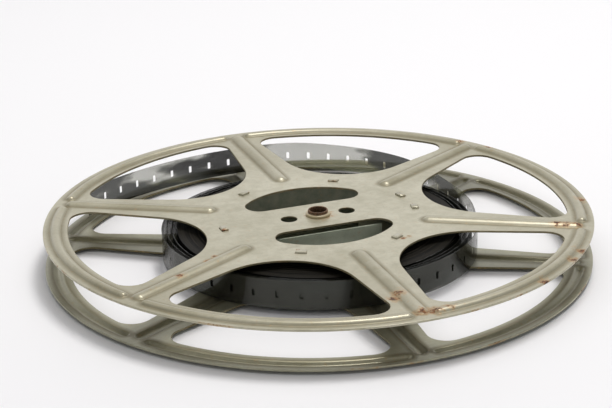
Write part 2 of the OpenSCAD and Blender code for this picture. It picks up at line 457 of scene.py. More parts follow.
@dataclass(frozen=True)
class FilmBase:
    """Glossy film with a silver image: dark, and see-through where it is a single layer."""

    name: str
    dense: Colour
    wound: Colour
    thin: Colour
    clear: float
    tail_run: tuple[float, float]
    sheen: Colour = (0.97, 1.0, 0.9)
    image_shift: float = 2.1
    image_scale: Triple = (26.0, 80.0, 1.0)
    scratch_scale: Triple = (6.0, 2600.0, 1.0)

    def material(self) -> bpy.types.Material:
        """Builds the finish, which follows the film's own length and width.

        Returns:
            The material.
        """
        finish = Finish(self.name)
        graph = finish.graph
        run = finish.attribute("film_run")
        across = finish.attribute("film_across")
        place = graph.wire("ShaderNodeCombineXYZ", None, {0: run, 1: across, 2: 0.0})
        image = graph.wire(
            "ShaderNodeMapping",
            None,
            {"Vector": place, "Location": (self.image_shift, 0.0, 0.0), "Scale": self.image_scale},
        )
        cloud = graph.noise(image, 1.0, 3.0, 0.5)
        scratch = graph.wire(
            "ShaderNodeMapping", None, {"Vector": place, "Scale": self.scratch_scale}
        )
        lines = graph.noise(scratch, 1.0, 3.0)
        density = graph.fade(cloud, 0.46, 0.54)
        single = graph.fade(run, *self.tail_run)
        clear = self.clear * (0.72 + single * 0.36)
        finish.feed(
            Base_Color=graph.mix(density, graph.mix(single, self.wound, self.thin), self.dense),
            Roughness=0.06 + lines * 0.12,
            Alpha=1.0 - clear * (1.0 - density * 0.62),
            Specular_IOR_Level=0.7,
            Specular_Tint=(*self.sheen, 1.0),
        )
        finish.bump(lines, 0.12, 0.01)
        return finish.material


@dataclass(frozen=True)
class FilmEdges:
    """The edges of the tight turns, which show as fine dark rings."""

    name: str
    dark: Colour
    pale: Colour
    turn: float
    lines_per_turn: float = 0.22
    cloud_scale: float = 60.0

    def material(self) -> bpy.types.Material:
        """Builds the finish, with a tone of its own for each turn.

        Returns:
            The material.
        """
        finish = Finish(self.name)
        graph = finish.graph
        place = finish.place()
        radius = graph.vector("LENGTH", graph.vector("MULTIPLY", place, (1.0, 1.0, 0.0)), None, 1)
        ring = graph.wire("ShaderNodeCombineXYZ", None, {0: radius, 1: 0.0, 2: 0.0})
        lines = graph.noise(ring, self.lines_per_turn / (self.turn * MM), 4.0, 0.75)
        cloud = graph.noise(place, self.cloud_scale, 3.0)
        tone = graph.fade(lines, 0.45, 0.68) * (0.4 + cloud)
        finish.feed(
            Base_Color=graph.mix(tone, self.dark, self.pale),
            Roughness=0.4 + lines * 0.2,
            Specular_IOR_Level=0.1,
        )
        return finish.material


def arc(
    centre: Sequence[float], radius: float, start: float, end: float, step: float
) -> list[Point]:
    """Points on an arc, both ends among them.

    Args:
        centre: Its centre.
        radius: Its radius.
        start: Angle of its first point, in degrees.
        end: Angle of its last point.
        step: Greatest distance between points.

    Returns:
        The points in order.
    """
    length = radius * math.radians(abs(end - start))
    count = max(2, math.ceil(length / step), math.ceil(abs(end - start) / 10))
    points = []
    for index in range(count + 1):
        angle = math.radians(start + (end - start) * index / count)
        points.append((centre[0] + radius * math.cos(angle), centre[1] + radius * math.sin(angle)))
    return points


def close_up(points: Iterable[Sequence[float]], step: float) -> np.ndarray:
    """A closed loop with no doubled points and no edge longer than a step.

    Args:
        points: The loop's points in order.
        step: Greatest distance between points.

    Returns:
        The loop as rows of x and y.
    """
    kept: list[np.ndarray] = []
    for point in (np.array(p, float) for p in points):
        if not kept or np.hypot(*(point - kept[-1])) > 1e-4:
            kept.append(point)
    if np.hypot(*(kept[0] - kept[-1])) < 1e-4:
        kept.pop()
    dense = []
    for index, point in enumerate(kept):
        follow = kept[(index + 1) % len(kept)]
        parts = max(1, math.ceil(np.hypot(*(follow - point)) / step))
        dense.extend(point + (follow - point) * part / parts for part in range(parts))
    return np.array(dense)


def turned(points: np.ndarray, degrees: float) -> np.ndarray:
    """Points of a plan, turned about the reel's axis.

    Args:
        points: Rows of x and y.
        degrees: How far they turn, anticlockwise.

    Returns:
        The turned rows.
    """
    angle = math.radians(degrees)
    spin = np.array([[math.cos(angle), math.sin(angle)], [-math.sin(angle), math.cos(angle)]])
    return np.asarray(points, float) @ spin


def moved_in(loop: np.ndarray, distance: float) -> np.ndarray:
    """A loop moved to the left of its own direction, corners kept.

    Args:
        loop: The loop's points.
        distance: How far it moves.

    Returns:
        As many points as the loop has.
    """
    ahead = np.roll(loop, -1, 0) - loop
    ahead /= np.linalg.norm(ahead, axis=1)[:, None]
    left = np.stack([-ahead[:, 1], ahead[:, 0]], 1)
    before = np.roll(left, 1, 0)
    turn = 1 + (left * before).sum(1)
    return loop + distance * (left + before) / turn[:, None]


def inside(points: np.ndarray, loop: np.ndarray) -> np.ndarray:
    """Which points lie inside a loop.

    Args:
        points: Rows of x and y.
        loop: The loop's points in order.

    Returns:
        A flag for each point.
    """
    x, y = points[:, 0][:, None], points[:, 1][:, None]
    x0, y0 = loop[:, 0], loop[:, 1]
    x1, y1 = np.roll(x0, -1), np.roll(y0, -1)
    rise = np.where(y1 == y0, 1e-12, y1 - y0)
    crossed = ((y0 > y) != (y1 > y)) & (x < (x1 - x0) * (y - y0) / rise + x0)
    return crossed.sum(1) % 2 == 1


def skin(size: int, count: int, closed: bool) -> list[Face]:
    """Faces between copies of one closed section, whose points follow copy by copy.

    Args:
        size: Number of points in a section.
        count: Number of sections.
        closed: Whether the last section joins the first; if not, both ends are capped.

    Returns:
        The faces.
    """
    faces: list[Face] = []
    for i in range(count if closed else count - 1):
        here, there = i * size, (i + 1) % count * size
        for j in range(size):
            k = (j + 1) % size
            faces.append((here + j, there + j, there + k, here + k))
    if not closed:
        faces.append(tuple(range(size)))
        faces.append(tuple(reversed(range((count - 1) * size, count * size))))
    return faces


def face_outwards(mesh: bpy.types.Mesh) -> None:
    """Turns the faces of a closed mesh outwards.

    Args:
        mesh: The mesh.
    """
    work = bmesh.new()
    work.from_mesh(mesh)
    bmesh.ops.recalc_face_normals(work, faces=work.faces)
    work.to_mesh(mesh)
    work.free()


def shade_smooth(mesh: bpy.types.Mesh, degrees: float) -> None:
    """Shades a mesh smooth, apart from edges that turn by more than an angle."""
    mesh.polygons.foreach_set("use_smooth", np.ones(len(mesh.polygons), bool))
    mesh.set_sharp_from_angle(angle=math.radians(degrees))


class Piece:
    """A finished object of the reel, with its finish, its body and the nodes that it stands in for.
    """

    def __init__(self, name: str, mesh: bpy.types.Mesh) -> None:
        """Links a mesh to the scene as an object at the origin."""
        self.object = bpy.data.objects.new(name, mesh)
        bpy.context.scene.collection.objects.link(self.object)

    @staticmethod
    def mesh(
        name: str, points: np.ndarray, faces: Sequence[Sequence[int]], smooth: bool = True
    ) -> bpy.types.Mesh:
        """A mesh in metres from points in millimetres.

        Args:
            name: The mesh's name.
            points: Rows of x, y and z.
            faces: Corner numbers of each face.
            smooth: Whether its faces are shaded smooth.

        Returns:
            The mesh.
        """
        mesh = bpy.data.meshes.new(name)
        mesh.from_pydata((np.asarray(points, float) * MM).tolist(), [], faces)
        mesh.polygons.foreach_set("use_smooth", np.full(len(mesh.polygons), smooth))
        mesh.update()
        return mesh

    def number(self, name: str, values: Sequence[float]) -> None:
        """Stores a number on each point of the mesh.

        Args:
            name: The attribute's name.
            values: A value for each point.
        """
        store = self.object.data.attributes.new(name, "FLOAT", "POINT")
        store.data.foreach_set("value", np.asarray(values, np.float32))

    def dress(self, material: bpy.types.Material, slot: Slot, body: Body, *nodes: str) -> None:
        """Gives the piece its finish, puts it under its body and hides the nodes that it replaces.

        Args:
            material: Its finish.
            slot: Not used.
            body: The body that it moves with.
            nodes: The nodes of the frame that it replaces.
        """
        self.object.data.materials.clear()
        self.object.data.materials.append(material)
        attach(self.object, body.value)
        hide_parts(*nodes)
        LOG.info(
            "%s: %d faces on %s, for %s",
            self.object.name,
            len(self.object.data.polygons),
            body.value,
            ", ".join(nodes),
        )


class ShapeTree:
    """A geometry tree with named inputs, run once on an object and made a plain mesh."""

    def __init__(self, name: str) -> None:
        """Starts a tree with a geometry input and a geometry output.

        Args:
            name: The tree's name.
        """
        self.tree = bpy.data.node_groups.new(name, "GeometryNodeTree")
        self.graph = Graph(self.tree)
        self.sockets: dict[str, str] = {}
        self.values: dict[str, Any] = {}
        face = self.tree.interface
        face.new_socket("Geometry", in_out="INPUT", socket_type="NodeSocketGeometry")
        face.new_socket("Geometry", in_out="OUTPUT", socket_type="NodeSocketGeometry")
        self.entry = self.graph.node("NodeGroupInput")
        self.exit = self.graph.node("NodeGroupOutput")

    def given(self, name: str, kind: str, value: Any) -> Wire:
        """Adds a named input.

        Args:
            name: Its name.
            kind: Its socket type, such as Float, Int, Object or Material.
            value: What this object gives it.

        Returns:
            The input as a wire.
        """
        socket = self.tree.interface.new_socket(
            name, in_out="INPUT", socket_type="NodeSocket" + kind
        )
        self.sockets[name] = socket.identifier
        self.values[name] = value
        return Wire(self.graph, self.entry.outputs[name])

    @property
    def geometry(self) -> Wire:
        """The geometry of the object that the tree runs on."""
        return Wire(self.graph, self.entry.outputs["Geometry"])

    def finish(self, shape: Wire, material: bpy.types.Material) -> None:
        """Ends the tree in Realize Instances and Set Material.

        Args:
            shape: What the tree has built.
            material: The finish that it gets.
        """
        cover = self.given("Finish", "Material", material)
        plain = self.graph.wire("GeometryNodeRealizeInstances", None, {"Geometry": shape})
        dressed = self.graph.wire(
            "GeometryNodeSetMaterial", None, {"Geometry": plain, "Material": cover}
        )
        self.tree.links.new(dressed.socket, self.exit.inputs[0])

    def run(self, name: str, start: bpy.types.Mesh) -> bpy.types.Mesh:
        """Runs the tree on a mesh.

        Args:
            name: The new mesh's name.
            start: The mesh that it starts from.

        Returns:
            A plain mesh.
        """
        host = bpy.data.objects.new(name + "_start", start)
        bpy.context.scene.collection.objects.link(host)
        modifier = host.modifiers.new(name, "NODES")
        modifier.node_group = self.tree
        for key, value in self.values.items():
            modifier[self.sockets[key]] = value
        graph = bpy.context.evaluated_depsgraph_get()
        result = bpy.data.meshes.new_from_object(
            host.evaluated_get(graph), preserve_all_data_layers=True, depsgraph=graph
        )
        result.name = name
        host.modifiers.remove(modifier)
        bpy.data.objects.remove(host)
        return result


@dataclass
class Flange:
    """One pressed flange: ring, six spokes with ribs, and a slotted hub plate."""

    side: Side
    face: float
    node: str
    sheet: float = SHEET
    edge: float = 0.13
    step: float = 1.2
    outer_r: float = 88.97
    ring_in_r: float = 81.0
    spokes: int = 6
    spoke_w: float = 11.0
    flare: float = 5.0
    corner_r: float = 6.0
    window_in_r: float = 39.0
    press_h: float = 1.0
    foot_r: float = 0.5
    rib_w: float = 4.5
    rib_from: float = 34.2
    rib_to: float = 85.0
    bead_w: float = 3.2
    bead_r: float = 85.0
    bead_gap: float = 3.3
    slot_r: float = 26.0
    strap_w: float = 20.0
    slot_tip_r: float = 5.0
    drive_r: float = 2.65
    drive_x: float = 10.0
    neck_r: float = 3.3
    lug_in_r: float = 32.6
    lug_out_r: float = 33.4
    lug_half: float = 3.1
    # Width of the darker band round the foot of each pressing: painted shade, with some dirt.
    foot_dirt_shade_w: float = 1.5
    crown_dirt: float = 0.3
    spoke_dirt: float = 0.2
    clean_r: float = 36.0
    # How far the cut edges of the holes and windows are darkened: painted shade.
    hole_edge_shade: float = 1.2
    rim_wear: float = 1.0
    hole_wear: float = 0.35
    lug_step: float = 0.5
    hole_step: float = 1.0
    press_step: float = 1.5
    tip_step: float = 0.6
    lug_angles: tuple[float, ...] = LUG_ANGLES

    @property
    def rib_ends(self) -> Point:
        """Radii of the middles of a rib's two round ends."""
        return self.rib_from + self.rib_w / 2, self.rib_to - self.rib_w / 2

    @property
    def bead_half(self) -> float:
        """Half the angle between the middles of a bead's two round ends, in degrees."""
        short = math.degrees((self.bead_gap + self.bead_w / 2) / self.bead_r)
        return 180 / self.spokes - short

    def window(self) -> np.ndarray:
        """The window along X.

        Returns:
            Its outline, anticlockwise.
        """
        lean = 180 / self.spokes + self.flare
        off = self.ring_in_r * math.sin(
            math.radians(self.flare) + math.asin(self.spoke_w / 2 / self.ring_in_r)
        )
        end_u = (self.window_in_r - off) / (1 - math.sin(math.radians(lean)))
        end_r = end_u - self.window_in_r
        side, run = math.radians(lean - 90), math.radians(lean)
        away = math.sqrt((self.ring_in_r - self.corner_r) ** 2 - (off + self.corner_r) ** 2)
        corner = (
            (off + self.corner_r) * math.cos(side) + away * math.cos(run),
            (off + self.corner_r) * math.sin(side) + away * math.sin(run),
        )
        turn = math.degrees(math.atan2(corner[1], corner[0]))
        lower = (corner[0], -corner[1])
        points = arc((end_u, 0), end_r, 90 + lean, 270 - lean, self.step)
        points += arc(lower, self.corner_r, 270 - lean, 360 - turn, self.step)
        points += arc((0, 0), self.ring_in_r, -turn, turn, self.step)
        points += arc(corner, self.corner_r, turn, 90 + lean, self.step)
        return close_up(points, self.step)

    def hub_slot(self) -> np.ndarray:
        """The hub slot on the side of +Y.

        Returns:
            Its outline, anticlockwise.
        """
        tip_y = self.strap_w / 2 + self.slot_tip_r
        tip_x = math.sqrt((self.slot_r - self.slot_tip_r) ** 2 - tip_y**2)
        turn = math.degrees(math.atan2(tip_y, tip_x))
        points = arc((tip_x, tip_y), self.slot_tip_r, -90, turn, self.step)
        points += arc((0, 0), self.slot_r, turn, 180 - turn, self.step)
        points += arc((-tip_x, tip_y), self.slot_tip_r, 180 - turn, 270, self.step)
        return close_up(points, self.step)

    def lug_slot(self, angle: float) -> np.ndarray:
        """The slot for one lug.

        Args:
            angle: Where the lug stands, in degrees.

        Returns:
            Its outline, anticlockwise.
        """
        low, high = angle - self.lug_half, angle + self.lug_half
        points = arc((0, 0), self.lug_out_r, low, high, self.lug_step)
        points += arc((0, 0), self.lug_in_r, high, low, self.lug_step)
        return close_up(points, self.lug_step)

    def outlines(self) -> list[np.ndarray]:
        """All edges of the sheet.

        Returns:
            Outlines with the sheet on their left, the rim's first.
        """
        window = self.window()
        slot = self.hub_slot()
        holes = [turned(window, 360 / self.spokes * k) for k in range(self.spokes)]
        holes += [slot, turned(slot, 180)]
        holes += [self.lug_slot(angle) for angle in self.lug_angles]
        for x in (-self.drive_x, self.drive_x):
            holes.append(close_up(arc((x, 0), self.drive_r, 0, 360, 0.4), self.hole_step))
        holes.append(close_up(arc((0, 0), self.neck_r, 0, 360, 0.5), self.hole_step))
        rim = close_up(arc((0, 0), self.outer_r, 0, 360, self.step), 2 * self.step)
        return [rim] + [hole[::-1] for hole in holes]

    def crown(self, width: float) -> Triple:
        """The profile of a pressing.

        Args:
            width: Its width.

        Returns:
            The crown's radius, and how far from the middle the crown and the foot end.
        """
        radius = (width**2 / 4 + self.press_h**2) / (2 * self.press_h)
        rise = self.foot_r - self.press_h + radius
        foot = math.sqrt((radius + self.foot_r) ** 2 - rise**2)
        return radius, foot * radius / (radius + self.foot_r), foot

    def offsets(self, width: float) -> list[float]:
        """Where the profile of a pressing is cut.

        Args:
            width: Its width.

        Returns:
            Distances from its middle.
        """
        _, top, foot = self.crown(width)
        crown = [top * share for share in (0.22, 0.44, 0.64, 0.83, 1.0)]
        bend = [top + (foot - top) * share for share in (0.33, 0.66, 1.0)]
        return crown + bend + [foot + self.foot_dirt_shade_w]

    def contours(self) -> tuple[list[np.ndarray], list[np.ndarray]]:
        """Lines along every pressing.

        Returns:
            Closed lines at its offsets, and open lines along its middle.
        """
        loops: list[np.ndarray] = []
        lines: list[np.ndarray] = []
        low, high = self.rib_ends
        half, step = self.bead_half, self.press_step
        count = math.ceil((high - low) / step)
        middle = [(low + (high - low) * i / count, 0.0) for i in range(count + 1)]
        for k in range(self.spokes):
            rib_turn, bead_turn = (k + 0.5) * 360 / self.spokes, k * 360 / self.spokes
            lines.append(turned(middle, rib_turn))
            for gap in self.offsets(self.rib_w):
                points = arc((high, 0), gap, -90, 90, self.tip_step)
                points += arc((low, 0), gap, 90, 270, self.tip_step)
                loops.append(turned(close_up(points, step), rib_turn))
            lines.append(turned(arc((0, 0), self.bead_r, -half, half, step), bead_turn))
            for gap in self.offsets(self.bead_w):
                points = arc((0, 0), self.bead_r + gap, -half, half, step)
                points += self.bead_tip(gap, half, half)
                points += arc((0, 0), self.bead_r - gap, half, -half, step)
                points += self.bead_tip(gap, -half, 180 - half)
                loops.append(turned(close_up(points, 1.6), bead_turn))
        return loops, lines

    def bead_tip(self, gap: float, angle: float, start: float) -> list[Point]:
        """The round end of a bead's contour.

        Args:
            gap: The contour's distance from the bead's middle line.
            angle: Where that line ends, in degrees.
            start: Direction of the end's first point.

        Returns:
            Points of half a circle.
        """
        turn = math.radians(angle)
        centre = (self.bead_r * math.cos(turn), self.bead_r * math.sin(turn))
        return arc(centre, gap, start, start + 180, 0.5)

    def gaps(self, plan: np.ndarray) -> tuple[np.ndarray, np.ndarray]:
        """How far each point lies from the pressings.

        Args:
            plan: Rows of x and y.

        Returns:
            Distances from the middle of the nearest rib, and of the nearest bead.
        """
        radius = np.hypot(plan[:, 0], plan[:, 1])
        angle = np.degrees(np.arctan2(plan[:, 1], plan[:, 0]))
        step = 360 / self.spokes
        from_rib = np.radians((angle % step) - step / 2)
        along, beside = radius * np.cos(from_rib), radius * np.sin(from_rib)
        rib = np.hypot(along - np.clip(along, *self.rib_ends), beside)
        half = self.bead_half
        from_bead = (angle + step / 2) % step - step / 2
        past = np.radians(from_bead - np.clip(from_bead, -half, half))
        bead = np.hypot(radius * np.cos(past) - self.bead_r, radius * np.sin(past))
        return rib, bead

    def heights(self, plan: np.ndarray) -> tuple[np.ndarray, np.ndarray]:
        """The pressed sheet's two faces over a plan.

        Args:
            plan: Rows of x and y.

        Returns:
            Heights of the outer and the inner face above the flat outer face.
        """
        outer, inner = np.zeros(len(plan)), np.full(len(plan), -self.sheet)
        for gap, width in zip(self.gaps(plan), (self.rib_w, self.bead_w)):
            radius, _, foot = self.crown(width)
            for face, shrink in ((outer, 0.0), (inner, self.sheet)):
                size, hollow = radius - shrink, self.foot_r + shrink
                turn = foot * size / (radius + self.foot_r)
                crown = self.press_h - radius + np.sqrt(np.maximum(size**2 - gap**2, 0))
                bend = self.foot_r - np.sqrt(np.maximum(hollow**2 - (foot - gap) ** 2, 0))
                face[gap < foot] = np.where(gap <= turn, crown, bend)[gap < foot]
        return outer, inner

    def dirt_and_shade(self, plan: np.ndarray) -> np.ndarray:
        """How far each point is darkened: painted shade with some dirt in bands at the feet of the
        pressings, and dirt on their crowns and out along the spokes.

        Args:
            plan: Rows of x and y.

        Returns:
            A share for each point.
        """
        share = np.zeros(len(plan))
        for gap, width in zip(self.gaps(plan), (self.rib_w, self.bead_w)):
            _, top, foot = self.crown(width)
            inner = np.clip((gap - top * 0.6) / (foot - top * 0.6), 0.0, 1.0)
            outer = np.clip((foot + self.foot_dirt_shade_w - gap) / self.foot_dirt_shade_w, 0.0, 1.0)
            share = np.maximum(share, np.maximum(inner * outer, self.crown_dirt * (gap < top)))
        away = np.clip((np.hypot(*plan.T) - self.clean_r) / self.clean_r, 0.0, 1.0)
        return np.maximum(share, self.spoke_dirt * away)

    def plan(self) -> tuple[np.ndarray, list[Face], list[np.ndarray], list[np.ndarray]]:
        """Cuts the sheet's plan into triangles that follow its edges and pressings.

        Returns:
            Points, triangles, outlines, and each outline's point numbers.
        """
        outlines = self.outlines()
        edges = [moved_in(loop, self.edge) for loop in outlines]
        loops, lines = self.contours()
        points: list[Vector] = []
        links: list[tuple[int, int]] = []
        starts: list[int] = []
        for run, closed in [(r, True) for r in edges + loops] + [(r, False) for r in lines]:
            starts.append(len(points))
            count = len(run)
            for i in range(count if closed else count - 1):
                links.append((starts[-1] + i, starts[-1] + (i + 1) % count))
            points.extend(Vector(p) for p in run)
        found = delaunay_2d_cdt(points, links, [], 0, 1e-5)
        plan = np.array([tuple(p) for p in found[0]])
        triangles = np.array([tuple(f) for f in found[2]])
        middles = plan[triangles].mean(1)
        kept = inside(middles, edges[0])
        for hole in edges[1:]:
            kept &= ~inside(middles, hole)
        number = {old: new for new, olds in enumerate(found[3]) for old in olds}
        rims = [
            np.array([number[start + i] for i in range(len(run))])
            for start, run in zip(starts, edges)
        ]
        corners = [tuple(int(c) for c in t) for t in triangles[kept]]
        return plan, corners, outlines, rims

    def build(self, paint: StovingPaint) -> None:
        """Builds the flange and dresses it.

        Args:
            paint: Its finish.
        """
        plan, triangles, outlines, rims = self.plan()
        outer, inner = self.heights(plan)
        count = len(plan)
        points = [np.column_stack([plan, outer]), np.column_stack([plan, inner])]
        edge = [np.zeros(count), np.zeros(count)]
        soil_and_shade = [self.dirt_and_shade(plan)] * 2
        faces = [tuple(t) for t in triangles]
        faces += [tuple(count + c for c in reversed(t)) for t in triangles]
        total = 2 * count
        for number, (loop, rim) in enumerate(zip(outlines, rims)):
            wear = self.rim_wear if number == 0 else self.hole_wear
            rows = [rim]
            bends = [(a, 0.0, -1.0) for a in (30, 60, 90)]
            bends += [(a, -self.sheet, 1.0) for a in (90, 60, 30)]
            for angle, base, way in bends:
                turn = math.radians(angle)
                ring = moved_in(loop, self.edge * (1 - math.sin(turn)))
                z = base + way * self.edge * (1 - math.cos(turn))
                points.append(np.column_stack([ring, np.full(len(ring), z)]))
                edge.append(np.full(len(ring), wear))
                # The cut edges of every hole and window are darkened: painted shade. The rim's edge
                # is not.
                soil_and_shade.append(np.full(len(ring), 0.0 if number == 0 else self.hole_edge_shade))
                rows.append(np.arange(total, total + len(ring)))
                total += len(ring)
            rows.append(rim + count)
            for upper, lower in zip(rows, rows[1:]):
                for i, j in zip(range(len(upper)), np.roll(np.arange(len(upper)), -1)):
                    faces.append(tuple(int(c) for c in (upper[i], lower[i], lower[j], upper[j])))
        solid = np.vstack(points)
        solid[:, 2] = self.face + self.side.value * solid[:, 2]
        if self.side is Side.LOWER:
            faces = [face[::-1] for face in faces]
        piece = Piece(self.node + "_sheet", Piece.mesh(self.node + "_sheet", solid, faces))
        self._crease(piece.object.data, rims, count)
        piece.number("edge", np.concatenate(edge))
        piece.number("dirt_and_shade", np.concatenate(soil_and_shade))
        piece.dress(paint.material(), Slot.FLANGE, Body.REEL, self.node)

    def _crease(self, mesh: bpy.types.Mesh, rims: list[np.ndarray], count: int) -> None:
        """Keeps the flat faces flat in the shading, up to the rounded edges.

        Args:
            mesh: The flange's mesh.
            rims: Point numbers of each outline on the outer face.
            count: How much higher their numbers are on the inner face.
        """
        sharp = {
            tuple(sorted((int(a) + base, int(b) + base)))
            for rim in rims
            for a, b in zip(rim, np.roll(rim, -1))
            for base in (0, count)
        }
        store = mesh.attributes.new("sharp_edge", "BOOLEAN", "EDGE")
        flags = [tuple(sorted(e.vertices)) in sharp for e in mesh.edges]
        store.data.foreach_set("value", flags)


def lathe(profile: Sequence[Point], segments: int) -> tuple[np.ndarray, list[Face]]:
    """Turns a closed profile about the reel's axis.

    Args:
        profile: Rows of radius and height, anticlockwise when radius runs to the right.
        segments: Number of steps round the axis.

    Returns:
        Points and faces.
    """
    rows = np.asarray(profile, float)
    turns = np.linspace(0, 2 * math.pi, segments, endpoint=False)
    points = np.array([(r * math.cos(t), r * math.sin(t), z) for t in turns for r, z in rows])
    return points, skin(len(rows), segments, True)


@dataclass
class SpindleEyelet:
    """A rolled eyelet: neck through the sheet, rolled lip outside, clinched lip inside."""

    side: Side
    face: float
    node: str
    lip_h: float
    bore_r: float = 2.75
    wall: float = 0.5
    lip_w: float = 0.8
    clinch: float = 0.45
    sheet: float = SHEET
    bore_edge: float = 0.15
    clinch_edge: float = 0.2
    seat_edge: float = 0.08
    fillet: float = 0.12
    neck_rise: float = 0.1
    least_neck: float = 0.3
    fine_step: float = 0.1
    segments: int = 96
    sharp_turn: float = 50.0
    wear_w: float = 0.8
    wear_from: float = 0.8
    wear_band: float = 0.4

    def profile(self) -> list[Point]:
        """The section, with the sheet's outer face at height 0.

        Returns:
            Rows of radius and height, anticlockwise.
        """
        outer = self.bore_r + self.wall + self.lip_w
        neck = self.bore_r + self.wall
        low = -self.sheet - self.clinch
        points = [(self.bore_r, low + self.bore_edge), (self.bore_r + self.bore_edge, low)]
        points += [(outer - self.clinch_edge, low), (outer, low + self.clinch_edge)]
        points += [(outer, -self.sheet), (neck, -self.sheet), (neck, 0.0)]
        points += [(outer - self.seat_edge, 0.0), (outer, self.seat_edge)]
        top = self.lip_h - self.wall / 2
        roll = min(self.lip_w / 2, top / 2)
        points += arc((outer - roll, roll + self.seat_edge), roll, 0, 90, self.fine_step)
        if top > 2 * roll + self.least_neck:
            foot = 2 * roll + self.neck_rise
            points += [(neck + self.fillet, foot), (neck, foot + self.fillet), (neck, top)]
        points += arc((self.bore_r + self.wall / 2, top), self.wall / 2, 15, 180, self.fine_step)
        return points

    def build(self, steel: RubbedSteel) -> None:
        """Builds the eyelet and dresses it.

        Args:
            steel: Its finish.
        """
        points, faces = lathe(self.profile(), self.segments)
        radius = np.hypot(points[:, 0], points[:, 1])
        points[:, 2] = self.face + self.side.value * points[:, 2]
        if self.side is Side.LOWER:
            faces = [face[::-1] for face in faces]
        mesh = Piece.mesh(self.node, points, faces)
        shade_smooth(mesh, self.sharp_turn)
        piece = Piece(self.node + "_ring", mesh)
        raised = (points[:, 2] - self.face) * self.side.value
        in_bore = np.clip(1.0 - (radius - self.bore_r) / self.wear_w, 0.0, 1.0)
        on_lip = np.clip((raised - self.wear_from) / self.wear_band, 0.0, 1.0)
        piece.number("edge", np.maximum(in_bore, on_lip))
        piece.dress(steel.material(), Slot.EYELET, Body.REEL, self.node)


